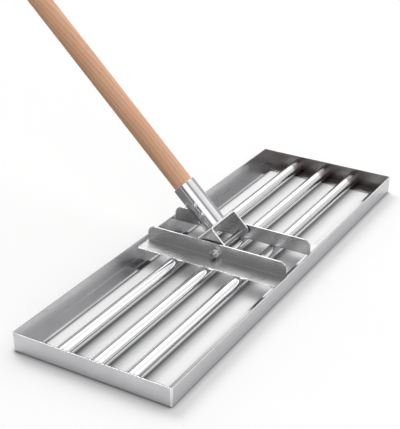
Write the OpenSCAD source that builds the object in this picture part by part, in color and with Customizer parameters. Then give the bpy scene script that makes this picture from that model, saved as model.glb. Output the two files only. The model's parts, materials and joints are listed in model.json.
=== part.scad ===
// Lawn leveling rake: a shallow open frame of mitred angle rails with round
// tubes along it, two angle brackets standing on the tubes, and a long wooden
// handle in a steel socket. The socket stands on a bent yoke that swings on a
// bolt between the brackets.
// Millimetres. X runs along the frame, Y towards the person who holds the
// handle, Z up. The origin lies on the ground under the middle of the frame.

/* [Frame] */
// Length of the frame along X
frame_l = 762; // [500:1:1000]
// Width of the frame along Y
frame_w = 254; // [230:1:400]
// Height of the frame's walls
frame_h = 30; // [24:0.5:45]
// Width of the flange at the foot of each wall
flange_w = 26; // [15:0.5:35]
// Thickness of the rails' sheet
rail_t = 2; // [1.5:0.1:3]
// Inside radius of the bend between wall and flange
rail_bend_r = 0.5; // [0.2:0.1:2]
// Radius of the frame's four upright outer corners
frame_corner_r = 2.5; // [0.5:0.5:6]

/* [Tubes] */
// Outside diameter of a tube
tube_d = 22; // [16:0.5:26]
// Wall of a tube
tube_wall = 1.5; // [1:0.1:3]
// Distance from one tube's centre line to the next
tube_pitch = 56; // [45:1:65]

/* [Brackets] */
// Room between a bracket's end and the frame's wall
bracket_end_gap = 2; // [0.5:0.5:30]
// Height of a bracket from the tubes to its upper edge
bracket_h = 26.5; // [24:0.5:40]
// Width of a bracket's flange from the wall's inner face
bracket_w = 37; // [25:0.5:50]
// Thickness of a bracket's sheet
bracket_t = 2.5; // [2:0.1:4]
// Inside radius of a bracket's bend
bracket_bend_r = 0.8; // [0.4:0.1:2]
// Radius of the upper corners of a bracket's wall
bracket_corner_r = 12; // [4:0.5:16]
// Radius of the outer corners of a bracket's flange
bracket_foot_r = 3; // [1:0.5:8]

/* [Yoke] */
// Width of the yoke over the outside of its legs
yoke_w = 77; // [60:0.5:100]
// Width of the strap that the yoke is bent from
yoke_strap = 38; // [34:0.5:44]
// Thickness of the strap
yoke_t = 3; // [2:0.1:4]
// Inside radius of the yoke's bends
yoke_bend_r = 4.5; // [1:0.1:6]
// Distance from the pivot to the upper face of the yoke's web
yoke_rise = 35; // [28:0.5:50]
// Distance along the leg from the pivot to where its narrow end widens
yoke_neck = 8; // [2:0.5:14]
// Room between the legs' ends and the middle tube below them
yoke_tube_gap = 1; // [0.5:0.1:3]

/* [Handle] */
// Angle of the handle above level at rest
handle_lean = 44; // [30:1:80]
// Diameter of the wooden shaft
handle_d = 32.5; // [30:0.1:36]
// Length of the wooden shaft with its tenon
handle_l = 1520; // [600:10:1800]
// Radius of the rounding on the shaft's free end
handle_tip_r = 6; // [1:0.5:12]
// Wall of the socket
socket_wall = 3; // [2:0.1:5]
// Length of the socket
socket_l = 80; // [65:1:120]
// Depth of the shoulder between shaft and tenon, on the radius
tenon_step = 0.35; // [0.2:0.05:2]
// Room between the tenon and the socket's bore, on the radius
tenon_gap = 0.1; // [0.05:0.05:0.15]
// Room between the tenon's end and the yoke's web
tenon_end_gap = 0.5; // [0.2:0.1:2]

/* [Fasteners] */
// Diameter of the pivot bolt
bolt_d = 8; // [6:1:10]
// Width across the flats of the bolt's head and nut
hex_af = 13; // [11:0.5:14]
// Height of the bolt's head
bolt_head_h = 5.3; // [4:0.1:7]
// Height of the nut's hexagon
nut_hex_h = 6; // [4:0.5:8]
// Height of the nut's locking collar
nut_collar_h = 2; // [1:0.5:3]
// Length of the bolt that stands out of the nut
bolt_tail = 1.5; // [0.5:0.5:4]
// Diameter of the washers under the head and the nut
washer_d = 15; // [14:0.5:17]
// Thickness of those washers
washer_t = 1.6; // [1:0.1:2.5]
// Diameter of the spacers between yoke and brackets
spacer_d = 16; // [12:0.5:18]
// Thickness of the spacers
spacer_t = 2.4; // [1.5:0.1:4]
// Diameter of the socket's screws
screw_d = 5; // [4:0.5:6]
// Length of a screw under its head
screw_l = 20; // [12:1:26]
// Length of a screw's point
screw_point = 4; // [2:0.5:6]
// Diameter of a screw's domed head
screw_head_d = 9.5; // [8:0.5:12]
// Height of a screw's domed head
screw_head_h = 3; // [2:0.1:4]
// Distance from the socket's rim to the first screw
screw_from_rim = 37; // [15:0.5:40]
// Distance from the first screw to the second
screw_pitch = 18.5; // [12:0.5:22]
// Angle of the screws below the level side of the socket
screw_turn = 15; // [0:1:45]

/* [Hidden] */
$fn = 96;

// How far a cutting shape runs past what it cuts
overrun = 1;
// Room of the bolt in the brackets, washers and spacers, on the radius
bolt_gap = 0.2;
// Running room of the yoke on the bolt, on the radius
swing_gap = 0.05;
// Room between a spacer and the yoke's leg
swing_play = 0.1;
// Room of a screw in its holes, on the radius
screw_gap = 0.1;
// Room between a washer and the bracket's bend
washer_gap = 0.2;
// Room beside a tube in the slots of the end flanges
slot_gap = 0.2;
// Share of a hexagon's height that its chamfered corners take
hex_chamfer_share = 0.12;
// Share of a hexagon's flats that the nut's collar takes
collar_share = 0.84;

tube_r = tube_d / 2;
tube_l = frame_l - 2 * rail_t;
tube_z = tube_r;
tube_top = tube_d;
slot_l = flange_w - rail_t + overrun;
slot_w = 2 * (sqrt(pow(tube_r, 2) - pow(tube_r - rail_t, 2)) + slot_gap);

bracket_l = frame_w - 2 * (rail_t + bracket_end_gap);
bracket_x = yoke_w / 2 + swing_play + spacer_t;
bracket_face_x = bracket_x + bracket_t;
seat_x = bracket_face_x + washer_t;

pivot_rise = bracket_bend_r + washer_d / 2 + washer_gap;
pivot_z = tube_top + bracket_t + pivot_rise;

yoke_half = yoke_strap / 2;
leg_end_r = pivot_z - tube_top - yoke_tube_gap;
leg_front_s = yoke_half - leg_end_r;

handle_r = handle_d / 2;
tenon_r = handle_r - tenon_step;
bore_r = tenon_r + tenon_gap;
socket_r = bore_r + socket_wall;
tenon_start = yoke_rise + tenon_end_gap;
rim_at = yoke_rise + socket_l;
shaft_l = handle_l - (rim_at - tenon_start);

hole_r = bolt_d / 2 + bolt_gap;
swing_r = bolt_d / 2 + swing_gap;
nut_h = nut_hex_h + nut_collar_h;
shank_l = 2 * seat_x + nut_h + bolt_tail;

screw_hole_r = screw_d / 2 + screw_gap;
screw_head_r = (pow(screw_head_h, 2) + pow(screw_head_d / 2, 2)) / (2 * screw_head_h);

steel = [0.78, 0.79, 0.80];
bright_steel = [0.88, 0.89, 0.90];
dark_steel = [0.50, 0.50, 0.51];
zinc = [0.66, 0.67, 0.68];
beech = [0.80, 0.59, 0.44];

// Outline of a bent angle: a wall up the Y axis and a flange along X
module angle_outline(h, w, t, r) {
    bend = r + t;
    translate([bend, 0]) square([w - bend, t]);
    translate([0, bend]) square([t, h - bend]);
    intersection() {
        square(bend);
        translate([bend, bend]) difference() {
            circle(bend);
            circle(r);
        }
    }
}

// Rectangle on the X axis whose two upper corners are round
module round_topped(l, h, r) {
    translate([-l / 2, 0]) square([l, h - r]);
    translate([r - l / 2, 0]) square([l - 2 * r, h]);
    for (side = [-1, 1]) {
        translate([side * (l / 2 - r), h - r]) circle(r);
    }
}

// Hexagonal block whose upper corners are chamfered all round
module hex_block(h) {
    corner_r = hex_af / (2 * cos(30));
    drop = h * hex_chamfer_share;
    intersection() {
        cylinder(r = corner_r, h = h, $fn = 6);
        rotate_extrude() polygon([
            [0, 0], [corner_r, 0], [corner_r, h - drop], [hex_af / 2, h], [0, h]
        ]);
    }
}

// Flat ring along Z
module ring(d, inner_r, h) {
    difference() {
        cylinder(d = d, h = h);
        translate([0, 0, -overrun]) cylinder(r = inner_r, h = h + 2 * overrun);
    }
}

// Turns what lies along Z to lie along X, at the height of the pivot
module along_pivot() {
    translate([0, 0, pivot_z]) rotate([0, 90, 0]) children();
}

// Axes of the handle: X along the pivot, Y up the handle, Z square to both
module on_handle() {
    translate([0, 0, pivot_z]) rotate([handle_lean, 0, 0]) children();
}

// Plan of a rail between its two mitred ends, with rounded outer corners
module mitred_plan(run, across) {
    reach = flange_w + overrun;
    inner = reach + overrun;
    translate([0, -across / 2]) intersection() {
        polygon([
            [-run / 2 - overrun, -overrun],
            [run / 2 + overrun, -overrun],
            [run / 2 - inner, inner],
            [inner - run / 2, inner]
        ]);
        translate([0, reach]) mirror([0, 1]) round_topped(run, reach, frame_corner_r);
    }
}

// Angle rail along X, on the side of the frame that faces -Y
module rail(run, across) {
    color(steel) intersection() {
        translate([-run / 2, -across / 2, 0]) rotate([90, 0, 90])
            linear_extrude(run) angle_outline(frame_h, flange_w, rail_t, rail_bend_r);
        translate([0, 0, -overrun])
            linear_extrude(frame_h + 2 * overrun) mitred_plan(run, across);
    }
}

module rail_front() {
    rail(frame_l, frame_w);
}

module rail_back() {
    rotate([0, 0, 180]) rail(frame_l, frame_w);
}

// Slots that let the tubes down through an end flange to the ground
module tube_slots() {
    for (place = [-1, 0, 1]) {
        translate([frame_l / 2 - rail_t - slot_l, place * tube_pitch - slot_w / 2, -overrun])
            cube([slot_l, slot_w, rail_t + rail_bend_r + 2 * overrun]);
    }
}

module rail_right() {
    difference() {
        rotate([0, 0, 90]) rail(frame_w, frame_l);
        tube_slots();
    }
}

module rail_left() {
    mirror([1, 0, 0]) rail_right();
}

// Tube between the end walls, level with the underside of the frame
module tube(place) {
    color(bright_steel) translate([-tube_l / 2, place * tube_pitch, tube_z])
        rotate([0, 90, 0]) ring(tube_d, tube_r - tube_wall, tube_l);
}

module tube_front() {
    tube(-1);
}

module tube_middle() {
    tube(0);
}

module tube_back() {
    tube(1);
}

// Angle bracket across the tubes, with its flange pointing to +X
module bracket() {
    color(dark_steel) difference() {
        intersection() {
            translate([bracket_x, bracket_l / 2, tube_top]) rotate([90, 0, 0])
                linear_extrude(bracket_l)
                    angle_outline(bracket_h, bracket_w, bracket_t, bracket_bend_r);
            translate([bracket_x - overrun, 0, tube_top]) rotate([90, 0, 90])
                linear_extrude(bracket_w + 2 * overrun)
                    round_topped(bracket_l, bracket_h, bracket_corner_r);
            translate([bracket_x, 0, tube_top - overrun]) rotate([0, 0, -90])
                linear_extrude(bracket_h + 2 * overrun)
                    round_topped(bracket_l, bracket_w, bracket_foot_r);
        }
        along_pivot() translate([0, 0, bracket_x - overrun])
            cylinder(r = hole_r, h = bracket_t + 2 * overrun);
    }
}

module bracket_right() {
    bracket();
}

module bracket_left() {
    mirror([1, 0, 0]) bracket();
}

// Hexagon bolt with its head on the right
module pivot_bolt() {
    color(zinc) along_pivot() {
        translate([0, 0, seat_x]) hex_block(bolt_head_h);
        translate([0, 0, seat_x - shank_l]) cylinder(d = bolt_d, h = shank_l);
    }
}

// Locking nut on the left, with a round collar
module pivot_nut() {
    color(zinc) along_pivot() translate([0, 0, -seat_x]) mirror([0, 0, 1]) difference() {
        union() {
            hex_block(nut_hex_h);
            cylinder(d = hex_af * collar_share, h = nut_h);
        }
        translate([0, 0, -overrun]) cylinder(r = swing_r, h = nut_h + 2 * overrun);
    }
}

module bolt_washer_right() {
    color(zinc) along_pivot() translate([0, 0, bracket_face_x]) ring(washer_d, hole_r, washer_t);
}

module bolt_washer_left() {
    mirror([1, 0, 0]) bolt_washer_right();
}

module spacer_right() {
    color(zinc) along_pivot() translate([0, 0, bracket_x - spacer_t]) ring(spacer_d, hole_r, spacer_t);
}

module spacer_left() {
    mirror([1, 0, 0]) spacer_right();
}

// Outline of the bent strap: a web with a leg hanging from each end, left long
module strap_outline() {
    drop = yoke_rise + leg_end_r + overrun;
    translate([0, yoke_rise - drop]) difference() {
        round_topped(yoke_w, drop, yoke_bend_r + yoke_t);
        translate([0, -overrun])
            round_topped(yoke_w - 2 * yoke_t, drop - yoke_t + overrun, yoke_bend_r);
    }
}

// Outline of a leg from the side: the upper edge runs straight to a round
// corner, and the lower edge draws in to a narrow end that clears the tube
module leg_outline() {
    leg_top = yoke_rise + overrun;
    circle(leg_end_r);
    translate([0, leg_front_s]) circle(leg_end_r);
    polygon([
        [0, yoke_half],
        [0, leg_front_s],
        [-leg_end_r, leg_front_s],
        [-leg_end_r, 0],
        [0, 0],
        [0, -leg_end_r],
        [yoke_neck, -leg_end_r],
        [yoke_neck + yoke_half - leg_end_r, -yoke_half],
        [leg_top, -yoke_half],
        [leg_top, yoke_half]
    ]);
}

module yoke() {
    color(dark_steel) on_handle() difference() {
        intersection() {
            translate([0, 0, -yoke_half - overrun])
                linear_extrude(yoke_strap + 2 * overrun) strap_outline();
            translate([-yoke_w / 2 - overrun, 0, 0]) rotate([90, 0, 90])
                linear_extrude(yoke_w + 2 * overrun) leg_outline();
        }
        rotate([0, 90, 0]) translate([0, 0, -yoke_w / 2 - overrun])
            cylinder(r = swing_r, h = yoke_w + 2 * overrun);
    }
}

// Places a screw's seat on the side of the socket, with Z pointing out of it
module at_screw(place) {
    on_handle() translate([0, rim_at - screw_from_rim - place * screw_pitch, 0])
        rotate([0, screw_turn - 90, 0]) translate([0, 0, socket_r]) children();
}

// Holes for the screws through the socket's wall and into the wood
module screw_holes() {
    for (place = [0, 1]) {
        at_screw(place) translate([0, 0, -screw_l - overrun])
            cylinder(r = screw_hole_r, h = screw_l + 2 * overrun);
    }
}

module handle_socket() {
    color(bright_steel) difference() {
        on_handle() translate([0, yoke_rise, 0]) rotate([-90, 0, 0])
            ring(2 * socket_r, bore_r, socket_l);
        screw_holes();
    }
}

// Screw with a domed head; its point is a short cone
module socket_screw(place) {
    color(zinc) at_screw(place) {
        intersection() {
            translate([0, 0, screw_head_h - screw_head_r]) sphere(screw_head_r);
            cylinder(d = screw_head_d, h = screw_head_h);
        }
        translate([0, 0, screw_point - screw_l]) cylinder(d = screw_d, h = screw_l - screw_point);
        translate([0, 0, -screw_l]) cylinder(d1 = 0, d2 = screw_d, h = screw_point);
    }
}

module socket_screw_upper() {
    socket_screw(0);
}

module socket_screw_lower() {
    socket_screw(1);
}

// Wooden shaft: a tenon in the socket, a shoulder on its rim, a rounded end
module handle_shaft() {
    color(beech) difference() {
        on_handle() rotate([-90, 0, 0]) {
            translate([0, 0, tenon_start]) cylinder(r = tenon_r, h = rim_at - tenon_start);
            translate([0, 0, rim_at]) rotate_extrude() intersection() {
                round_topped(handle_d, shaft_l, handle_tip_r);
                square([handle_r, shaft_l]);
            }
        }
        screw_holes();
    }
}

rail_front();
rail_back();
rail_left();
rail_right();
tube_front();
tube_middle();
tube_back();
bracket_left();
bracket_right();
pivot_bolt();
pivot_nut();
bolt_washer_left();
bolt_washer_right();
spacer_left();
spacer_right();
yoke();
handle_socket();
socket_screw_upper();
socket_screw_lower();
handle_shaft();
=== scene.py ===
# %% [markdown]
# # Dressing a lawn leveling rake
# The rake is an open rectangle of steel angle that lies on the ground, with three round
# tubes along it and two cross brackets that carry a swinging yoke and a long wooden handle.
# The solids come ready made from CAD, in metres, with the ground at height zero. This lesson
# adds what solids lack: softened edges, steel and wood that look like steel and wood, a few
# small shapes such as a thread and screw recesses, a studio and a camera.

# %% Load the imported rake
import json
import math

import bmesh
import bpy
from mathutils import Matrix, Vector


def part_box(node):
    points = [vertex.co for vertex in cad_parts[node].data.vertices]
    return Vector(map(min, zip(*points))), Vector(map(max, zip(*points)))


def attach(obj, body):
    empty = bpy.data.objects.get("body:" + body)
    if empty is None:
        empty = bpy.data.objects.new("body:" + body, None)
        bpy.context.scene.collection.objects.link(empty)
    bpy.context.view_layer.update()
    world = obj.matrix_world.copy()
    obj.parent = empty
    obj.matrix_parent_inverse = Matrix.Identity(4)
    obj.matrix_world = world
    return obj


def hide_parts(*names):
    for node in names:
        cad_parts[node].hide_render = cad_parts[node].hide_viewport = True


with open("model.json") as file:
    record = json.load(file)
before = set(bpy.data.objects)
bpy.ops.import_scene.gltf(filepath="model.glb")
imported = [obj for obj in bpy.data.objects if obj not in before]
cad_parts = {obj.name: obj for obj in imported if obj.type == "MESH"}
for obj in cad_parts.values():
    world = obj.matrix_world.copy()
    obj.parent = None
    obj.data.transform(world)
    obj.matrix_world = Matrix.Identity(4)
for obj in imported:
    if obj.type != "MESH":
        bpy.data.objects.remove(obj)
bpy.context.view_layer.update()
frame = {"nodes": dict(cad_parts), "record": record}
record = frame["record"]
body_of = {node: body for body, nodes in record["behaviour"]["bodies"].items() for node in nodes}
print("nodes:", sorted(frame["nodes"]))

# %% [markdown]
# ## The camera
# A picture's perspective tells where the camera stood. Here the corners of the frame, the
# ends of the tubes and the line of the handle were matched to a turning angle, a height
# angle, a small roll and a distance. The camera is set from those few numbers, so nothing
# is nudged by eye. Blender fits a portrait picture by its long side, which gives the lens.

# %% Camera at the photograph's angle
PICTURE_SIZE = (400, 429)
FOCAL_PIXELS = 1050.7
SENSOR_MM = 36.0
VIEW_TURN, VIEW_HEIGHT, VIEW_ROLL = -60.384, 26.115, 0.768
VIEW_DISTANCE = 1.8268
VIEW_TARGET = Vector((0.1195, 0.1204, 0.0))

view_turn = (
    Matrix.Rotation(math.radians(VIEW_TURN), 4, "Z")
    @ Matrix.Rotation(math.radians(90.0 - VIEW_HEIGHT), 4, "X")
    @ Matrix.Rotation(math.radians(VIEW_ROLL), 4, "Z")
)
camera_data = bpy.data.cameras.new("studio_camera")
camera_data.sensor_width = SENSOR_MM
camera_data.lens = FOCAL_PIXELS * SENSOR_MM / max(PICTURE_SIZE)
camera = bpy.data.objects.new("studio_camera", camera_data)
camera.matrix_world = (
    Matrix.Translation(VIEW_TARGET) @ view_turn @ Matrix.Translation((0, 0, VIEW_DISTANCE))
)
scene = bpy.context.scene
scene.collection.objects.link(camera)
scene.camera = camera
print(
    "camera at", [round(v, 3) for v in camera.matrix_world.translation],
    "lens", round(camera_data.lens, 1)
)

# %% [markdown]
# ## Small helpers for node trees
# Every material, group and the world is a tree of nodes. Adding a node, setting its plain
# properties and linking sockets takes three lines each time, so a few short helpers keep
# the later cells readable. The link helper also takes a plain number, which it writes on
# the socket itself.

# %% Node helpers
def add_node(tree, kind, label, **settings):
    """A new node with a label, with its plain properties set."""
    node = tree.nodes.new(kind)
    node.label = label
    for name, value in settings.items():
        setattr(node, name, value)
    return node


def feed(tree, target, source):
    """Links an output to an input, or writes a plain value on the input."""
    if isinstance(source, bpy.types.NodeSocket):
        tree.links.new(source, target)
    else:
        target.default_value = source


def math_node(tree, operation, first, second, label):
    """A Math node on two values."""
    node = add_node(tree, "ShaderNodeMath", label, operation=operation)
    feed(tree, node.inputs[0], first)
    feed(tree, node.inputs[1], second)
    return node.outputs[0]


def scaled(tree, value, from_low, from_high, to_low, to_high, label, smooth=False):
    """A Map Range node from one span of numbers to another, clamped."""
    node = add_node(tree, "ShaderNodeMapRange", label)
    node.interpolation_type = "SMOOTHSTEP" if smooth else "LINEAR"
    feed(tree, node.inputs["Value"], value)
    for name, number in (
        ("From Min", from_low), ("From Max", from_high), ("To Min", to_low), ("To Max", to_high)
    ):
        feed(tree, node.inputs[name], number)
    return node.outputs["Result"]


def blended(tree, share, first, second, label):
    """A colour mix: first where share is 0, second where it is 1."""
    node = add_node(tree, "ShaderNodeMix", label, data_type="RGBA")
    feed(tree, node.inputs[0], share)
    feed(tree, node.inputs[6], first)
    feed(tree, node.inputs[7], second)
    return node.outputs[2]


print("node helpers ready")

# %% [markdown]
# ## The studio
# The rake stands on a white sweep under a large soft light. Bare steel shows little but
# what is around it, so the studio is most of its look. The world grows brighter upwards, is
# dim on one side, where the room is dark, and pale on the other. Broad bright patches stand
# for softboxes and give polished tubes their white bands. A small strong one high behind the
# rake draws its shadow forward on the floor, and a low strip on the same side leaves the
# floor inside the frame a little darker than outside. A wide one behind the camera lights the
# wood. Steel hardly shows these three, since no long face turns that way. A faint one far to
# the left draws out the nut and the fold of the near bracket. A world has no edges or
# falloff, so the floor is lit evenly however far it runs. The camera itself sees plain white
# where it looks past the floor.

# %% Studio world
def direction(turn_degrees, height_degrees):
    """Unit vector: turn is measured from +X towards +Y, height above the ground."""
    turn, height = math.radians(turn_degrees), math.radians(height_degrees)
    return Vector((
        math.cos(height) * math.cos(turn), math.cos(height) * math.sin(turn), math.sin(height)
    ))


DIM_SIDE, PALE_SIDE = 0.24, 0.58
DIM_TOP, PALE_TOP = 0.45, 1.05
PALE_SIDE_TURN, SIDE_BLEND = -10.0, 0.5
TOP_FROM, TOP_FULL = 0.42, 0.85
SOFTBOXES = {
    # name: turn, height, full to, gone at (degrees from its middle), brightness
    "back_left_box": (16.0, 32.0, 11.0, 19.0, 1.5),
    "right_box": (-20.0, 33.0, 14.0, 30.0, 0.40),
    "right_low_box": (-43.0, 25.0, 7.0, 14.0, 0.6),
    "right_high_box": (-62.0, 50.0, 14.0, 34.0, 0.8),
    "high_key": (52.0, 46.0, 9.0, 18.0, 7.8),
    "front_fill": (-146.0, 25.0, 13.0, 30.0, 2.0),
    "left_strip": (74.0, 18.0, 12.0, 26.0, 1.6),
    "far_left_box": (150.0, 29.0, 11.0, 22.0, 0.28),
}

world = bpy.data.worlds.new("studio_world")
scene.world = world
world.use_nodes = True
sky = world.node_tree
sky.nodes.clear()
look = add_node(sky, "ShaderNodeTexCoord", "direction of the ray").outputs["Generated"]
split = add_node(sky, "ShaderNodeSeparateXYZ", "split the direction")
feed(sky, split.inputs[0], look)
towards = add_node(sky, "ShaderNodeVectorMath", "towards the pale side", operation="DOT_PRODUCT")
feed(sky, towards.inputs[0], look)
feed(sky, towards.inputs[1], direction(PALE_SIDE_TURN, 0.0))
low_light, top_light = (
    scaled(sky, towards.outputs["Value"], -SIDE_BLEND, SIDE_BLEND, dim, pale, label, smooth=True)
    for dim, pale, label in (
        (DIM_SIDE, PALE_SIDE, "round the horizon"), (DIM_TOP, PALE_TOP, "overhead")
    )
)
light = scaled(
    sky, split.outputs["Z"], TOP_FROM, TOP_FULL, low_light, top_light, "brighter upwards", smooth=True
)
for name, (turn, height, full, gone, brightness) in SOFTBOXES.items():
    facing = add_node(sky, "ShaderNodeVectorMath", name, operation="DOT_PRODUCT")
    feed(sky, facing.inputs[0], look)
    feed(sky, facing.inputs[1], direction(turn, height))
    patch = scaled(
        sky, facing.outputs["Value"], math.cos(math.radians(gone)), math.cos(math.radians(full)),
        0.0, brightness, name + " patch", smooth=True
    )
    light = math_node(sky, "ADD", light, patch, "add " + name)
rays = add_node(sky, "ShaderNodeLightPath", "kind of ray")
seen = add_node(sky, "ShaderNodeMix", "white to the camera", data_type="FLOAT")
feed(sky, seen.inputs[0], rays.outputs["Is Camera Ray"])
feed(sky, seen.inputs[2], light)
feed(sky, seen.inputs[3], 1.0)
background = add_node(sky, "ShaderNodeBackground", "studio light")
feed(sky, background.inputs["Strength"], seen.outputs[0])
world_out = add_node(sky, "ShaderNodeOutputWorld", "world")
feed(sky, world_out.inputs["Surface"], background.outputs[0])
print("world patches:", list(SOFTBOXES))

# %% [markdown]
# The floor is one large quad just under the steel. It is white to the camera and to
# reflections. For the light that it throws back up onto the rake it counts as pale grey, as
# a paper sweep does that is lit from above and shaded by its own stand. Within a centimetre
# of the steel, an ambient occlusion node turns the paper's colour grey. This is a painted
# contact shade, where sheet and tubes meet the paper and hardly any light gets in. It gives
# the thin dark line under each wall and tube.

# %% Floor
FLOOR_HALF = 30.0
FLOOR_DROP = 0.0004
FLOOR_WHITE = (0.92, 0.92, 0.92, 1.0)
FLOOR_BOUNCE = (0.26, 0.26, 0.26, 1.0)
PAINTED_CONTACT_SHADE, CONTACT_REACH = (0.28, 0.28, 0.28, 1.0), 0.008

floor_mesh = bpy.data.meshes.new("studio_floor")
floor_mesh.from_pydata(
    [
        (x * FLOOR_HALF, y * FLOOR_HALF, -FLOOR_DROP)
        for x, y in ((-1, -1), (1, -1), (1, 1), (-1, 1))
    ],
    [], [(0, 1, 2, 3)]
)
floor = bpy.data.objects.new("studio_floor", floor_mesh)
scene.collection.objects.link(floor)

paper = bpy.data.materials.new("white_paper")
paper.use_nodes = True
tree = paper.node_tree
tree.nodes.clear()
rays = add_node(tree, "ShaderNodeLightPath", "kind of ray")
shown = math_node(
    tree, "MAXIMUM", rays.outputs["Is Camera Ray"], rays.outputs["Is Glossy Ray"], "camera or mirror"
)
shown = math_node(tree, "MAXIMUM", shown, rays.outputs["Is Transmission Ray"], "or glass")
# Painted contact shade: close to the steel the paper's colour goes grey.
nearby = add_node(tree, "ShaderNodeAmbientOcclusion", "steel close by")
feed(tree, nearby.inputs["Distance"], CONTACT_REACH)
open_paper = blended(tree, shown, FLOOR_BOUNCE, FLOOR_WHITE, "white where seen")
paper_colour = blended(tree, nearby.outputs["AO"], PAINTED_CONTACT_SHADE, open_paper, "painted shade at the steel")
paper_shader = add_node(tree, "ShaderNodeBsdfDiffuse", "paper")
feed(tree, paper_shader.inputs["Color"], paper_colour)
paper_out = add_node(tree, "ShaderNodeOutputMaterial", "paper out")
feed(tree, paper_out.inputs["Surface"], paper_shader.outputs[0])
floor_mesh.materials.append(paper)
print("floor side in metres:", 2 * FLOOR_HALF)

# %% [markdown]
# Polished metal on white paper looks flat, because it mirrors the paper all round. So a
# photographer lays a grey card beside it: one side of the round socket goes dark and its
# roundness shows. The card lies on the floor behind the head, and only reflections see it.
# The camera and the light on the floor pass it by.

# %% Grey card
CARD_NEAR, CARD_FAR = (-1.40, 0.16), (0.15, 0.95)
CARD_GREY = (0.26, 0.26, 0.26, 1.0)

card_mesh = bpy.data.meshes.new("grey_card")
card_mesh.from_pydata(
    [(x, y, -FLOOR_DROP / 2) for x, y in (
        CARD_NEAR, (CARD_FAR[0], CARD_NEAR[1]), CARD_FAR, (CARD_NEAR[0], CARD_FAR[1])
    )],
    [], [(0, 1, 2, 3)]
)
card = bpy.data.objects.new("grey_card", card_mesh)
scene.collection.objects.link(card)
card.visible_camera = card.visible_diffuse = card.visible_shadow = card.visible_transmission = False
card_paper = bpy.data.materials.new("grey_card_paper")
card_paper.use_nodes = True
card_shader = card_paper.node_tree.nodes["Principled BSDF"]
card_shader.inputs["Base Color"].default_value = CARD_GREY
card_shader.inputs["Roughness"].default_value = 1.0
card_mesh.materials.append(card_paper)
print("grey card from", CARD_NEAR, "to", CARD_FAR)

# %% [markdown]
# ## Shared surface effects
# Sheet steel, drawn tube and plated bolts share a few effects: fine lines left by rolling
# or brushing, soft marks where hands and rags have been, a faint waviness of the sheet, and
# brighter, smoother edges. Each is a node group with its own inputs, built once here and
# placed in each material with other values.

# %% Group helper
def new_group(name, inputs, outputs):
    """An empty shader node group with named sockets; returns it with its in and out nodes."""
    group = bpy.data.node_groups.new(name, "ShaderNodeTree")
    for socket_name, kind, value in inputs:
        socket = group.interface.new_socket(socket_name, in_out="INPUT", socket_type=kind)
        if value is not None:
            socket.default_value = value
    for socket_name, kind in outputs:
        group.interface.new_socket(socket_name, in_out="OUTPUT", socket_type=kind)
    group_in = add_node(group, "NodeGroupInput", "in")
    group_out = add_node(group, "NodeGroupOutput", "out")
    return group, group_in, group_out


def place_group(tree, group, label, **values):
    """Puts a group in a material; underscores in the names stand for spaces."""
    node = add_node(tree, "ShaderNodeGroup", label, node_tree=group)
    for name, value in values.items():
        feed(tree, node.inputs[name.replace("_", " ")], value)
    return node


print("group helper ready")

# %% [markdown]
# Fine lines come from noise that is stretched along one axis: a small number in Stretch
# draws the noise out along that axis, large numbers make it fine across.

# %% Fine lines
NOISE_LOW, NOISE_HIGH = 0.3, 0.7

fine_lines, group_in, group_out = new_group(
    "fine_lines",
    [("Place", "NodeSocketVector", None), ("Stretch", "NodeSocketVector", (30.0, 1500.0, 1500.0))],
    [("Lines", "NodeSocketFloat")],
)
stretched = add_node(fine_lines, "ShaderNodeVectorMath", "stretch along the lines", operation="MULTIPLY")
feed(fine_lines, stretched.inputs[0], group_in.outputs["Place"])
feed(fine_lines, stretched.inputs[1], group_in.outputs["Stretch"])
strands = add_node(fine_lines, "ShaderNodeTexNoise", "strands")
feed(fine_lines, strands.inputs["Vector"], stretched.outputs[0])
for name, value in (("Scale", 1.0), ("Detail", 4.0), ("Roughness", 0.62)):
    feed(fine_lines, strands.inputs[name], value)
feed(
    fine_lines, group_out.inputs["Lines"],
    scaled(fine_lines, strands.outputs["Fac"], NOISE_LOW, NOISE_HIGH, 0.0, 1.0, "full range")
)
print("group", fine_lines.name)

# %% [markdown]
# Soft marks are cloudy patches with gentle borders. The same noise, at a lower scale, also
# gives the slow waves of thin sheet, which bend the reflections a little.

# %% Soft marks and sheet waves
PATCH_FROM, PATCH_FULL = 0.36, 0.66
WAVE_SCALE = 0.8

soft_marks, group_in, group_out = new_group(
    "soft_marks",
    [("Place", "NodeSocketVector", None), ("Scale", "NodeSocketFloat", 30.0)],
    [("Marks", "NodeSocketFloat"), ("Waves", "NodeSocketFloat")],
)
clouds = add_node(soft_marks, "ShaderNodeTexNoise", "clouds")
feed(soft_marks, clouds.inputs["Vector"], group_in.outputs["Place"])
feed(soft_marks, clouds.inputs["Scale"], group_in.outputs["Scale"])
for name, value in (("Detail", 5.0), ("Roughness", 0.55), ("Distortion", 0.4)):
    feed(soft_marks, clouds.inputs[name], value)
feed(
    soft_marks, group_out.inputs["Marks"],
    scaled(soft_marks, clouds.outputs["Fac"], PATCH_FROM, PATCH_FULL, 0.0, 1.0, "patches", smooth=True)
)
swell = add_node(soft_marks, "ShaderNodeTexNoise", "slow waves")
feed(soft_marks, swell.inputs["Vector"], group_in.outputs["Place"])
feed(
    soft_marks, swell.inputs["Scale"],
    math_node(soft_marks, "MULTIPLY", group_in.outputs["Scale"], WAVE_SCALE, "wider than the patches")
)
for name, value in (("Detail", 1.0), ("Roughness", 0.4)):
    feed(soft_marks, swell.inputs[name], value)
feed(soft_marks, group_out.inputs["Waves"], swell.outputs["Fac"])
print("group", soft_marks.name)

# %% [markdown]
# Where sheet has been sheared or sawn, the cut shows fresh, brighter metal. Each steel mesh
# further down carries a number on its faces, called cut_edge, that is 1 on cuts and on their
# rounded rims. It is also 1 on the rounded upright corners of the head, where it is a painted
# highlight. The group reads that number and breaks it up a little, since no rim is rubbed
# evenly. A Bevel node could find edges too, but it would also light up inside folds.

# %% Cut edges
RUB_LOW, RUB_HIGH = 0.35, 0.65

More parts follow.
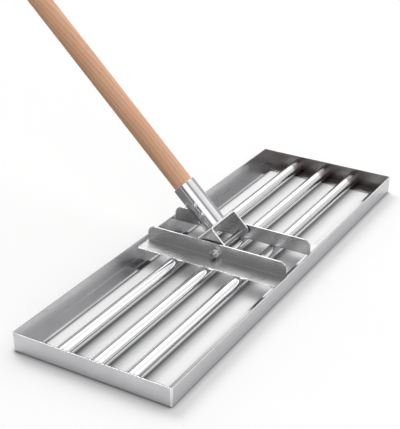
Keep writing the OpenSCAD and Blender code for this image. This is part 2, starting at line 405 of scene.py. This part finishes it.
cut_edges, group_in, group_out = new_group(
    "cut_edges",
    [("Place", "NodeSocketVector", None), ("Least", "NodeSocketFloat", 0.7)],
    [("Edge", "NodeSocketFloat")],
)
cut = add_node(cut_edges, "ShaderNodeAttribute", "cut faces", attribute_name="cut_edge")
rubs = add_node(cut_edges, "ShaderNodeTexNoise", "uneven rubbing")
feed(cut_edges, rubs.inputs["Vector"], group_in.outputs["Place"])
for name, value in (("Scale", 60.0), ("Detail", 2.0), ("Roughness", 0.5)):
    feed(cut_edges, rubs.inputs[name], value)
uneven = scaled(
    cut_edges, rubs.outputs["Fac"], RUB_LOW, RUB_HIGH, group_in.outputs["Least"], 1.0,
    "rubbed more or less"
)
feed(
    cut_edges, group_out.inputs["Edge"],
    math_node(cut_edges, "MULTIPLY", cut.outputs["Fac"], uneven, "edge")
)
print("group", cut_edges.name)

# %% [markdown]
# Near the ends of the tubes and on the inner faces of the end rails, the colour turns dull
# dark brown. This is a painted dark reflection: of the dark end walls in the tubes, and of
# dim surroundings in the end walls. It depends on the distance from the middle of the head,
# along X: it starts at From, is full at To and stops at End, the outer face of the end rails,
# which stays clean. Left is 1 where the left end has it too and 0 where only the right end
# has it. A slow noise makes the border uneven.

# %% Painted dark reflection at the ends
BORDER_SHIFT = 0.006

painted_end_reflection, group_in, group_out = new_group(
    "painted_end_reflection",
    [
        ("Place", "NodeSocketVector", None), ("From", "NodeSocketFloat", 0.34),
        ("To", "NodeSocketFloat", 0.37), ("End", "NodeSocketFloat", 0.40),
        ("Left", "NodeSocketFloat", 1.0),
    ],
    [("Tint", "NodeSocketFloat")],
)
split = add_node(painted_end_reflection, "ShaderNodeSeparateXYZ", "along the head")
feed(painted_end_reflection, split.inputs[0], group_in.outputs["Place"])
leftward = math_node(painted_end_reflection, "MULTIPLY", split.outputs["X"], -1.0, "to the left")
leftward = math_node(painted_end_reflection, "MULTIPLY", leftward, group_in.outputs["Left"], "left end counts")
reach = math_node(painted_end_reflection, "MAXIMUM", split.outputs["X"], leftward, "from the middle")
border = add_node(painted_end_reflection, "ShaderNodeTexNoise", "uneven border")
feed(painted_end_reflection, border.inputs["Vector"], group_in.outputs["Place"])
for name, value in (("Scale", 45.0), ("Detail", 2.0), ("Roughness", 0.5)):
    feed(painted_end_reflection, border.inputs[name], value)
shift = scaled(
    painted_end_reflection, border.outputs["Fac"], NOISE_LOW, NOISE_HIGH, -BORDER_SHIFT, BORDER_SHIFT,
    "border to and fro"
)
started = scaled(
    painted_end_reflection, math_node(painted_end_reflection, "ADD", reach, shift, "shifted"),
    group_in.outputs["From"], group_in.outputs["To"], 0.0, 1.0, "painted_dark_reflection", smooth=True
)
beyond = math_node(painted_end_reflection, "LESS_THAN", reach, group_in.outputs["End"], "not on the outside")
feed(painted_end_reflection, group_out.inputs["Tint"], math_node(painted_end_reflection, "MULTIPLY", started, beyond, "tint"))
print("group", painted_end_reflection.name)

# %% [markdown]
# ## Steel
# All the steel is one recipe: a metallic Principled shader whose colour and roughness
# follow the lines, the marks and the edges, with the lines and the waves as a very shallow
# bump. What differs is how dark, how smooth and in which direction the lines run, so one
# function takes those values and each finish is one short call. Heat, rubbing and stains
# are added only where a finish asks for them.

# %% Steel recipe
LINE_TONE, LINE_GLOSS = 0.93, 0.2
MARK_TONE, MARK_SHARE = 0.72, 0.12
LEVEL_FROM, LEVEL_FULL = 0.7, 0.95
UNDER_FROM, UNDER_FULL = -0.20, 0.45
EDGE_ROUGH = 0.18
PAINTED_REFLECTION_BROWN, DARK_END_ROUGH = (0.265, 0.250, 0.244, 1.0), 0.28


def shaded(tone, share):
    """The same colour, darker."""
    return [share * channel for channel in tone[:3]] + [1.0]


def facing_height(tree):
    """How far a face of the rake looks up (1) or down (-1)."""
    facing = add_node(tree, "ShaderNodeTexCoord", "face direction").outputs["Normal"]
    parts = add_node(tree, "ShaderNodeSeparateXYZ", "which way it faces")
    feed(tree, parts.inputs[0], facing)
    return parts.outputs["Z"]


def steel(
    name, tone, edge_tone, gloss, stretch, line_depth, wave_depth,
    mark_scale=28.0, painted_dark_reflection=None, rubbed=None, painted_underside_shade=None
):
    """A steel finish.

    tone, edge_tone: colours of the face and of cut edges
    gloss: roughness where clean and where marked
    stretch: scale of the fine lines along each axis
    line_depth, wave_depth: depth of the bumps in metres
    heated: where the painted dark reflection starts, is full and ends, and whether the left end has it
    rubbed: roughness where soil has rubbed the level faces, and the share of the tone there, a painted
    shade
    stained: share of the tone on undersides, a painted shade
    """
    material = bpy.data.materials.new(name)
    material.use_nodes = True
    tree = material.node_tree
    shader = tree.nodes["Principled BSDF"]
    place = add_node(tree, "ShaderNodeTexCoord", "place on the rake").outputs["Object"]
    lines = place_group(tree, fine_lines, "rolling lines", Place=place, Stretch=stretch).outputs["Lines"]
    marks = place_group(tree, soft_marks, "handling marks", Place=place, Scale=mark_scale)
    edge = place_group(tree, cut_edges, "cut edges", Place=place).outputs["Edge"]

    colour = blended(tree, lines, shaded(tone, LINE_TONE), tone, "lines in the colour")
    marked = math_node(tree, "MULTIPLY", marks.outputs["Marks"], MARK_SHARE, "faint marks")
    colour = blended(tree, marked, colour, shaded(tone, MARK_TONE), "marks in the colour")
    # Level faces get a darker share of the tone: painted shade. Only their lower roughness comes from
    # rubbing.
    if rubbed:
        rubbed_rough, painted_shade_share = rubbed
        level = math_node(tree, "ABSOLUTE", facing_height(tree), 0.0, "up or down")
        level = scaled(tree, level, LEVEL_FROM, LEVEL_FULL, 0.0, 1.0, "level faces", smooth=True)
        colour = blended(tree, level, colour, shaded(tone, painted_shade_share), "painted shade on level faces")
    # Faces that look down get a darker share of the tone: painted shade.
    if painted_underside_shade:
        below = math_node(tree, "MULTIPLY", facing_height(tree), -1.0, "looks down")
        below = scaled(tree, below, UNDER_FROM, UNDER_FULL, 0.0, 1.0, "undersides", smooth=True)
        colour = blended(tree, below, colour, shaded(tone, painted_underside_shade), "painted shade underneath")
    colour = blended(tree, edge, colour, edge_tone, "bright edges")

    smooth, worn = gloss
    rough = scaled(tree, marks.outputs["Marks"], 0.0, 1.0, smooth, worn, "marks are duller")
    streak = LINE_GLOSS * smooth
    streak = scaled(tree, lines, 0.0, 1.0, -streak, streak, "lines in the gloss")
    rough = math_node(tree, "ADD", rough, streak, "roughness")
    if rubbed:
        rough = scaled(tree, level, 0.0, 1.0, rough, rubbed_rough, "polished by soil")
    rough = scaled(tree, edge, 0.0, 1.0, rough, EDGE_ROUGH, "smooth cut edges")
    # Near the ends the colour turns dark brown: a painted dark reflection.
    if painted_dark_reflection:
        start, full, end, left = painted_dark_reflection
        tint = place_group(
            tree, painted_end_reflection, "painted dark reflection", Place=place, From=start, To=full, End=end, Left=left
        ).outputs["Tint"]
        colour = blended(tree, tint, colour, PAINTED_REFLECTION_BROWN, "painted reflection colour")
        rough = scaled(tree, tint, 0.0, 1.0, rough, DARK_END_ROUGH, "tinted gloss")
    feed(tree, shader.inputs["Base Color"], colour)
    feed(tree, shader.inputs["Roughness"], rough)
    shader.inputs["Metallic"].default_value = 1.0

    waves = add_node(tree, "ShaderNodeBump", "waves of the sheet")
    feed(tree, waves.inputs["Height"], marks.outputs["Waves"])
    feed(tree, waves.inputs["Distance"], wave_depth)
    grooves = add_node(tree, "ShaderNodeBump", "fine grooves")
    feed(tree, grooves.inputs["Height"], lines)
    feed(tree, grooves.inputs["Distance"], line_depth)
    feed(tree, grooves.inputs["Normal"], waves.outputs["Normal"])
    feed(tree, shader.inputs["Normal"], grooves.outputs["Normal"])
    return material


print("steel recipe ready")

# %% [markdown]
# The rails are satin stainless sheet, rolled along their length. The long rails run along
# the head and the end rails across it, so the rails need two directions of lines. The
# flanges of the long rails slide over the ground, which rubs them smoother than the walls.
# The shader finds them by their normal: a face that looks up or down is level, and there
# the colour is also darker, a painted shade. The back rail has a lighter tone than the
# front one, which is painted light, and the most painted shade on its level faces. The end
# rails have a lighter tone too, also painted light. The tubes are polished and much brighter,
# with painted shade on their undersides. Brackets and yoke are a duller, darker sheet. The
# bolt and nut are dull zinc and the screws bright zinc.

# %% Steel finishes
ALONG_X, ALONG_Y = (25.0, 1400.0, 1400.0), (1400.0, 25.0, 1400.0)
NO_DIRECTION = (900.0, 900.0, 900.0)
RAIL_TONE, RAIL_EDGE = (0.615, 0.615, 0.63, 1.0), (0.94, 0.94, 0.95, 1.0)
# Back and end rails are the same steel as the front rail; their lighter tones are painted light.
BACK_PAINTED_LIGHT_TONE, END_PAINTED_LIGHT_TONE = (0.80, 0.80, 0.815, 1.0), (0.65, 0.65, 0.665, 1.0)
TUBE_TONE, TUBE_EDGE = (0.86, 0.865, 0.875, 1.0), (0.90, 0.90, 0.91, 1.0)
DARK_TONE, DARK_EDGE = (0.61, 0.605, 0.61, 1.0), (0.92, 0.92, 0.93, 1.0)
SOCKET_TONE, SOCKET_EDGE = (0.60, 0.60, 0.61, 1.0), (0.90, 0.90, 0.91, 1.0)
ZINC_TONE, ZINC_EDGE = (0.46, 0.465, 0.475, 1.0), (0.74, 0.74, 0.75, 1.0)
BRIGHT_ZINC_TONE, BRIGHT_ZINC_EDGE = (0.80, 0.80, 0.81, 1.0), (0.92, 0.92, 0.93, 1.0)

rail_steel_long = steel(
    "rail_steel_long", RAIL_TONE, RAIL_EDGE, gloss=(0.30, 0.37), stretch=ALONG_X,
    line_depth=0.0000012, wave_depth=0.00003, rubbed=(0.10, 0.90)
)
# Back rail: a lighter tone, which is painted light, and strong painted shade on its level faces.
rail_steel_back = steel(
    "rail_steel_back", BACK_PAINTED_LIGHT_TONE, RAIL_EDGE, gloss=(0.30, 0.37), stretch=ALONG_X,
    line_depth=0.0000012, wave_depth=0.00003, rubbed=(0.10, 0.36)
)
# End rails: a lighter tone, which is painted light, and a painted dark reflection near the tube ends.
rail_steel_short = steel(
    "rail_steel_short", END_PAINTED_LIGHT_TONE, RAIL_EDGE, gloss=(0.30, 0.38), stretch=ALONG_Y,
    line_depth=0.0000012, wave_depth=0.00003, painted_dark_reflection=(0.340, 0.366, 0.3801, 1.0)
)
# Tubes: a painted dark reflection at the right ends, and painted shade underneath.
tube_steel = steel(
    "tube_steel", TUBE_TONE, TUBE_EDGE, gloss=(0.05, 0.10), stretch=ALONG_X,
    line_depth=0.000001, wave_depth=0.00002, painted_dark_reflection=(0.336, 0.350, 0.40, 0.0), painted_underside_shade=0.40
)
bracket_steel, yoke_steel = (
    steel(
        name, DARK_TONE, DARK_EDGE, gloss=(0.27, 0.34), stretch=ALONG_Y,
        line_depth=0.0000012, wave_depth=0.00002
    )
    for name in ("bracket_steel", "yoke_steel")
)
socket_steel = steel(
    "socket_steel", SOCKET_TONE, SOCKET_EDGE, gloss=(0.12, 0.17), stretch=ALONG_X,
    line_depth=0.000002, wave_depth=0.00002
)
fastener_steel = steel(
    "fastener_steel", ZINC_TONE, ZINC_EDGE, gloss=(0.24, 0.36), stretch=NO_DIRECTION,
    line_depth=0.000004, wave_depth=0.00001, mark_scale=160.0
)
screw_steel = steel(
    "screw_steel", BRIGHT_ZINC_TONE, BRIGHT_ZINC_EDGE, gloss=(0.20, 0.30), stretch=NO_DIRECTION,
    line_depth=0.000004, wave_depth=0.00001, mark_scale=160.0
)
print("steel finishes:", [m.name for m in bpy.data.materials if "steel" in m.name])

# %% [markdown]
# ## Beech
# The handle is turned from a pinkish beech, sanded and thinly oiled. Beech shows faint
# growth rings and, all over, short dark flecks along the grain. The texture is solid: the
# place on the rake is turned so that one axis runs along the handle, the rings are those of
# a tree whose heart lies outside the handle, and so the end grain comes out right as well.

# %% Handle wood
handle_end = next(mount for mount in record["mounts"] if mount["name"] == "handle_end")
handle_axis = Vector(handle_end["axis"]).normalized()
handle_lean = math.atan2(handle_axis.y, handle_axis.z)
WOOD_LIGHT = (0.95, 0.56, 0.352, 1.0)
WOOD_DARK = (0.72, 0.378, 0.216, 1.0)
WOOD_FLECK = (0.30, 0.14, 0.075, 1.0)
TREE_HEART, GRAIN_TILT = (0.052, 0.031, 0.0), (0.10, -0.06, 0.0)
PORE_STRETCH, FLECK_STRETCH = (1700.0, 1700.0, 22.0), (1150.0, 1150.0, 130.0)
FLECK_FROM, FLECK_FULL, FLECK_STRENGTH = 0.80, 0.98, 0.75
RING_SHARE, STREAK_SHARE, TINT_SHARE = 0.46, 0.32, 0.22
TINT_SCALE = 9.0
OILED_ROUGH, PORE_ROUGH, PORE_DEPTH = 0.40, 0.55, 0.00003
OIL_IOR = 1.46

handle_wood = bpy.data.materials.new("handle_wood")
handle_wood.use_nodes = True
tree = handle_wood.node_tree
shader = tree.nodes["Principled BSDF"]
place = add_node(tree, "ShaderNodeTexCoord", "place on the rake").outputs["Object"]
turned = add_node(tree, "ShaderNodeVectorRotate", "turn along the handle", rotation_type="X_AXIS")
feed(tree, turned.inputs["Vector"], place)
feed(tree, turned.inputs["Angle"], handle_lean)
along = turned.outputs["Vector"]

from_heart = add_node(tree, "ShaderNodeMapping", "from the tree's heart")
feed(tree, from_heart.inputs["Vector"], along)
from_heart.inputs["Location"].default_value = TREE_HEART
from_heart.inputs["Rotation"].default_value = GRAIN_TILT
rings = add_node(tree, "ShaderNodeTexWave", "growth rings", wave_type="RINGS", rings_direction="Z")
feed(tree, rings.inputs["Vector"], from_heart.outputs["Vector"])
for name, value in (
    ("Scale", 52.0), ("Distortion", 2.8),
    ("Detail", 2.0), ("Detail Scale", 0.35), ("Detail Roughness", 0.5),
):
    feed(tree, rings.inputs[name], value)
streaks = place_group(
    tree, fine_lines, "pore streaks", Place=along, Stretch=PORE_STRETCH
).outputs["Lines"]
flecks = place_group(
    tree, fine_lines, "ray flecks", Place=along, Stretch=FLECK_STRETCH
).outputs["Lines"]
fleck_mask = scaled(
    tree, flecks, FLECK_FROM, FLECK_FULL, 0.0, FLECK_STRENGTH, "only the strongest", smooth=True
)
tint = place_group(
    tree, soft_marks, "slow change of tint", Place=along, Scale=TINT_SCALE
).outputs["Marks"]

grain = math_node(tree, "MULTIPLY", rings.outputs["Fac"], RING_SHARE, "rings")
streak_part = math_node(tree, "MULTIPLY", streaks, STREAK_SHARE, "streaks")
grain = math_node(tree, "ADD", grain, streak_part, "rings and streaks")
tint_part = math_node(tree, "MULTIPLY", tint, TINT_SHARE, "tint")
grain = math_node(tree, "ADD", grain, tint_part, "grain")
wood_colour = blended(tree, grain, WOOD_LIGHT, WOOD_DARK, "light to dark wood")
wood_colour = blended(tree, fleck_mask, wood_colour, WOOD_FLECK, "flecks")
feed(tree, shader.inputs["Base Color"], wood_colour)
wood_rough = scaled(tree, streaks, 0.0, 1.0, OILED_ROUGH, PORE_ROUGH, "oiled, duller in the pores")
feed(tree, shader.inputs["Roughness"], wood_rough)
shader.inputs["IOR"].default_value = OIL_IOR
pits = math_node(tree, "ADD", streaks, fleck_mask, "pits")
pores = add_node(tree, "ShaderNodeBump", "pores and flecks")
feed(tree, pores.inputs["Height"], math_node(tree, "SUBTRACT", 1.0, pits, "surface"))
feed(tree, pores.inputs["Distance"], PORE_DEPTH)
feed(tree, shader.inputs["Normal"], pores.outputs["Normal"])
print("handle leans", round(math.degrees(handle_lean), 1), "degrees from upright")

# %% [markdown]
# ## Softened steel pieces
# A sheared or sawn edge is never perfectly sharp, and the thin bright line along it is what
# makes steel look real. Each CAD piece with sharp edges is copied, its triangles are
# merged back into flat faces, and its sharp edges get a small rounding. The bevel is made
# on the mesh rather than with a modifier because some edges must stay out of it: where two
# rails meet in a mitre the joint is tight and ground flush, and the slots under the tubes are
# out of reach of any tool.

# %% Softening helper
SHARP_DEGREES, FLAT_DEGREES = 35.0, 0.4
MERGE_WITHIN = 0.000001
CUT_WIDTH, CUT_RIM_SHARE = 0.0036, 0.7
SUFFIX = "_softened"
CORNER_REACH = 0.0024
SLOT_TOP, SLOT_REACH = 0.006, 0.008
MITRE_SLACK = 0.00002
TUBES = ("tube_front", "tube_middle", "tube_back")
head_corner = Vector((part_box("rail_right")[1].x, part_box("rail_back")[1].y, 0.0))
tube_middles = [sum(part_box(node), Vector()).y / 2 for node in TUBES]


def on_mitre(edge):
    """True where an edge lies in the plane in which two rails meet."""
    return all(
        abs((head_corner.x - abs(v.co.x)) - (head_corner.y - abs(v.co.y))) < MITRE_SLACK
        for v in edge.verts
    )


def kept_sharp(edge):
    """True on mitres and round the slots under the tubes, which nobody can reach to deburr."""
    in_slot = any(
        all(v.co.z < SLOT_TOP and abs(v.co.y - middle) < SLOT_REACH for v in edge.verts)
        for middle in tube_middles
    )
    return in_slot or on_mitre(edge)


def corner_highlight_faces(face):
    """True on the rounded upright corners of the head, which take the bright cut-edge colour as a
    painted highlight.
    """
    place = face.calc_center_median()
    return min(abs(place.x) - head_corner.x, abs(place.y) - head_corner.y) > -CORNER_REACH


def softened(node, edge_radius, material, skip=None, bright=None):
    """A copy of a CAD node with rounded edges that stands for the node.

    skip: true on edges that stay sharp; bright: true on faces that count as cut, so that they take the
    bright cut-edge colour as a painted highlight
    """
    mesh_of_piece = bmesh.new()
    mesh_of_piece.from_mesh(frame["nodes"][node].data)
    bmesh.ops.remove_doubles(mesh_of_piece, verts=mesh_of_piece.verts, dist=MERGE_WITHIN)
    bmesh.ops.dissolve_limit(
        mesh_of_piece, angle_limit=math.radians(FLAT_DEGREES),
        verts=mesh_of_piece.verts, edges=mesh_of_piece.edges
    )
    sharp = {
        edge for edge in mesh_of_piece.edges
        if edge.is_manifold and edge.calc_face_angle() > math.radians(SHARP_DEGREES)
        and not (skip and skip(edge))
    }
    cut_edge = mesh_of_piece.faces.layers.float.new("cut_edge")
    for face in mesh_of_piece.faces:
        rim = sum(edge.calc_length() for edge in face.edges if edge in sharp)
        narrow = face.calc_area() < CUT_WIDTH / 2 * face.calc_perimeter()
        is_cut = narrow and rim > CUT_RIM_SHARE * face.calc_perimeter()
        face[cut_edge] = float(is_cut or bool(bright and bright(face)))
    rounded = bmesh.ops.bevel(
        mesh_of_piece, geom=list(sharp), offset=edge_radius, offset_type="OFFSET", segments=2,
        profile=0.5, affect="EDGES", clamp_overlap=False
    )
    for face in rounded["faces"]:
        face[cut_edge] = 1.0
    mesh = bpy.data.meshes.new(node + SUFFIX)
    mesh_of_piece.to_mesh(mesh)
    mesh_of_piece.free()
    mesh.polygons.foreach_set("use_smooth", [True] * len(mesh.polygons))
    mesh.materials.append(material)
    piece = bpy.data.objects.new(node + SUFFIX, mesh)
    scene.collection.objects.link(piece)
    even = piece.modifiers.new("even_shading", "WEIGHTED_NORMAL")
    even.keep_sharp = False
    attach(piece, body_of[node])
    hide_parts(node)
    print(node, "edges rounded:", len(sharp), "faces:", len(mesh.polygons))


# %% [markdown]
# The rails, brackets, yoke and socket go through that one helper. The rounding is about a
# seventh of the sheet, as a deburring wheel leaves it.

# %% Rails, brackets, yoke and socket
RAIL_ROUNDING, YOKE_ROUNDING, SHEET_ROUNDING = 0.00045, 0.00040, 0.00035

for node, finish in (
    ("rail_front", rail_steel_long), ("rail_back", rail_steel_back),
    ("rail_left", rail_steel_short), ("rail_right", rail_steel_short),
):
    # The upright corners of the head count as cut faces: a painted highlight.
    softened(node, RAIL_ROUNDING, finish, skip=kept_sharp, bright=corner_highlight_faces)
for node in ("bracket_left", "bracket_right"):
    softened(node, SHEET_ROUNDING, bracket_steel)
softened("yoke", YOKE_ROUNDING, yoke_steel)
softened("handle_socket", SHEET_ROUNDING, socket_steel)

# %% [markdown]
# The bolt, nut, washers, spacers and screws are small turned or pressed parts. They go
# through the same helper with a much finer rounding, since their edges leave the machine
# almost sharp. A larger one would eat up the thin washers.

# %% Fasteners
FASTENER_ROUNDING = 0.00012
SCREWS = ("socket_screw_upper", "socket_screw_lower")

for node in (
    "pivot_bolt", "pivot_nut", "bolt_washer_left", "bolt_washer_right",
    "spacer_left", "spacer_right",
):
    softened(node, FASTENER_ROUNDING, fastener_steel)
for node in SCREWS:
    softened(node, FASTENER_ROUNDING, screw_steel)

# %% [markdown]
# ## Thread on the bolt's end
# The bolt's end sticks out of the nut and shows its last turns of thread. A thread is a small
# ridge wound round a cylinder, so a triangle is carried along a helix and its three corners
# are joined from step to step. The bolt below stays as it is.

# %% Bolt thread
THREAD_PITCH, THREAD_HEIGHT, STEPS_PER_TURN = 0.00125, 0.0003, 36
FREE_TURNS, FIRST_TURN = 0.9, 0.45
RIDGE_HALF, RIDGE_SUNK = 0.42, 0.0001


def add_piece(name, corners, sides, node, material):
    """A new mesh piece that rides with a node's body, in the given material."""
    mesh = bpy.data.meshes.new(name)
    mesh.from_pydata(corners, [], sides)
    mesh.polygons.foreach_set("use_smooth", [len(side) == 4 for side in sides])
    mesh.materials.append(material)
    piece = bpy.data.objects.new(name, mesh)
    scene.collection.objects.link(piece)
    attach(piece, body_of[node])
    return piece


bolt_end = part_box("pivot_bolt")[0].x
nut_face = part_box("pivot_nut")[0].x
pivot = Vector(record["behaviour"]["joints"][0]["pos_m"])
bolt_radius = max(
    (Vector((0.0, v.co.y, v.co.z)) - Vector((0.0, pivot.y, pivot.z))).length
    for v in frame["nodes"]["pivot_bolt"].data.vertices if v.co.x < nut_face
)
turns = (nut_face - bolt_end) / THREAD_PITCH - FREE_TURNS
corners, sides = [], []
for step in range(int(turns * STEPS_PER_TURN) + 1):
    angle = 2.0 * math.pi * step / STEPS_PER_TURN
    middle = nut_face - THREAD_PITCH * (step / STEPS_PER_TURN + FIRST_TURN)
    for along, out in ((RIDGE_HALF, -RIDGE_SUNK), (0.0, THREAD_HEIGHT), (-RIDGE_HALF, -RIDGE_SUNK)):
        radius = bolt_radius + out
        corners.append((
            middle + along * THREAD_PITCH,
            pivot.y + radius * math.cos(angle), pivot.z + radius * math.sin(angle)
        ))
    if step:
        now, last = 3 * step, 3 * step - 3
        sides += [(last + i, last + (i + 1) % 3, now + (i + 1) % 3, now + i) for i in range(3)]
sides += [(2, 1, 0), tuple(len(corners) - 3 + i for i in range(3))]

add_piece("bolt_thread", corners, sides, "pivot_bolt", fastener_steel)
print("thread turns:", round(turns, 2), "bolt radius in mm:", round(1000 * bolt_radius, 2))

# %% [markdown]
# ## Cross recess in the screws
# The two screws in the socket have domed heads with a cross recess for the driver. The recess
# is cut: a cross of two thin blocks stands at the top of the head, a Boolean takes it away,
# and the result is kept as plain mesh, so that no cutter stays in the scene. The two blocks
# differ a little in depth, because a Boolean dislikes faces that lie in one plane.

# %% Cross recess
RECESS_LONG, RECESS_WIDE, RECESS_DEPTH = 0.0050, 0.0011, 0.0017
FIRST_DEPTHS, SECOND_DEPTHS = 2, 1.96
HEAD_HEIGHT = 0.0032
screw_points = bpy.data.objects[SCREWS[0] + SUFFIX].data.vertices
screw_axis = sum((v.co for v in screw_points), Vector()) / len(screw_points) - pivot
screw_axis = (screw_axis - screw_axis.dot(handle_axis) * handle_axis).normalized()
print("screws point along", [round(v, 3) for v in screw_axis])


def block(cutter, centre, sides):
    """Adds a box along the screw's own axes to a cutter mesh."""
    made = bmesh.ops.create_cube(cutter, size=1.0)
    turn = screw_axis.to_track_quat("Z", "Y").to_matrix().to_4x4()
    set_in_place = Matrix.Translation(centre) @ turn @ Matrix.Diagonal((*sides, 1.0))
    bmesh.ops.transform(cutter, verts=made["verts"], matrix=set_in_place)


for node in SCREWS:
    piece = bpy.data.objects[node + SUFFIX]
    top = max((v.co.dot(screw_axis), tuple(v.co)) for v in piece.data.vertices)
    head = [v.co for v in piece.data.vertices if top[0] - v.co.dot(screw_axis) < HEAD_HEIGHT]
    middle = sum(head, Vector()) / len(head)
    middle += (top[0] - middle.dot(screw_axis)) * screw_axis
    cutter_mesh = bmesh.new()
    for sides in (
        (RECESS_LONG, RECESS_WIDE, FIRST_DEPTHS * RECESS_DEPTH),
        (RECESS_WIDE, RECESS_LONG, SECOND_DEPTHS * RECESS_DEPTH),
    ):
        block(cutter_mesh, middle, sides)
    cutter = bpy.data.objects.new("recess_cutter", bpy.data.meshes.new("recess_cutter"))
    cutter_mesh.to_mesh(cutter.data)
    cutter_mesh.free()
    scene.collection.objects.link(cutter)
    cut = piece.modifiers.new("recess", "BOOLEAN")
    cut.object, cut.operation, cut.solver, cut.use_self = cutter, "DIFFERENCE", "EXACT", True
    piece.modifiers.move(len(piece.modifiers) - 1, 0)
    bpy.context.view_layer.update()
    kept = bpy.data.meshes.new_from_object(piece.evaluated_get(bpy.context.evaluated_depsgraph_get()))
    piece.modifiers.clear()
    kept.name = piece.data.name
    piece.data = kept
    bpy.data.objects.remove(cutter)
    print(node, "faces with the recess:", len(kept.polygons))

# %% [markdown]
# ## Tubes
# A polished tube shows every facet as a stripe, and the CAD mesh is only as fine as its
# export. So each tube is drawn again from its own box: two circles of many points at each
# end, for the outer and the inner wall, joined along the tube and closed by a ring at both
# ends.

# %% Smooth tubes
TUBE_POINTS = 128
TUBE_WALL = 0.0015

for node in TUBES:
    low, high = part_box(node)
    middle, outer = (low + high) / 2, (high.z - low.z) / 2
    inner = outer - TUBE_WALL
    corners = []
    for x, radius in ((low.x, outer), (high.x, outer), (high.x, inner), (low.x, inner)):
        for point in range(TUBE_POINTS):
            angle = 2 * math.pi * point / TUBE_POINTS
            corners.append((
                x, middle.y + radius * math.cos(angle), middle.z + radius * math.sin(angle)
            ))
    sides = [
        (
            loop * TUBE_POINTS + point, loop * TUBE_POINTS + (point + 1) % TUBE_POINTS,
            (loop + 1) % 4 * TUBE_POINTS + (point + 1) % TUBE_POINTS,
            (loop + 1) % 4 * TUBE_POINTS + point
        )
        for loop in range(4) for point in range(TUBE_POINTS)
    ]
    tube = add_piece(node + "_smooth", corners, sides, node, tube_steel)
    tube.data.set_sharp_from_angle(angle=math.radians(SHARP_DEGREES))
    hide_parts(node)
    print(node, "outer diameter in mm:", round(2000 * outer, 2))

# %% [markdown]
# ## The handle
# The handle has its rounded tip already, so it keeps its CAD mesh and only gets its wood.

# %% Handle
frame["nodes"]["handle_shaft"].material_slots[0].material = handle_wood
print("handle shaft finished in place")

# %% [markdown]
# The standard view transform shows colours as they are written.

# %% Finish
scene.view_settings.view_transform = "Standard"
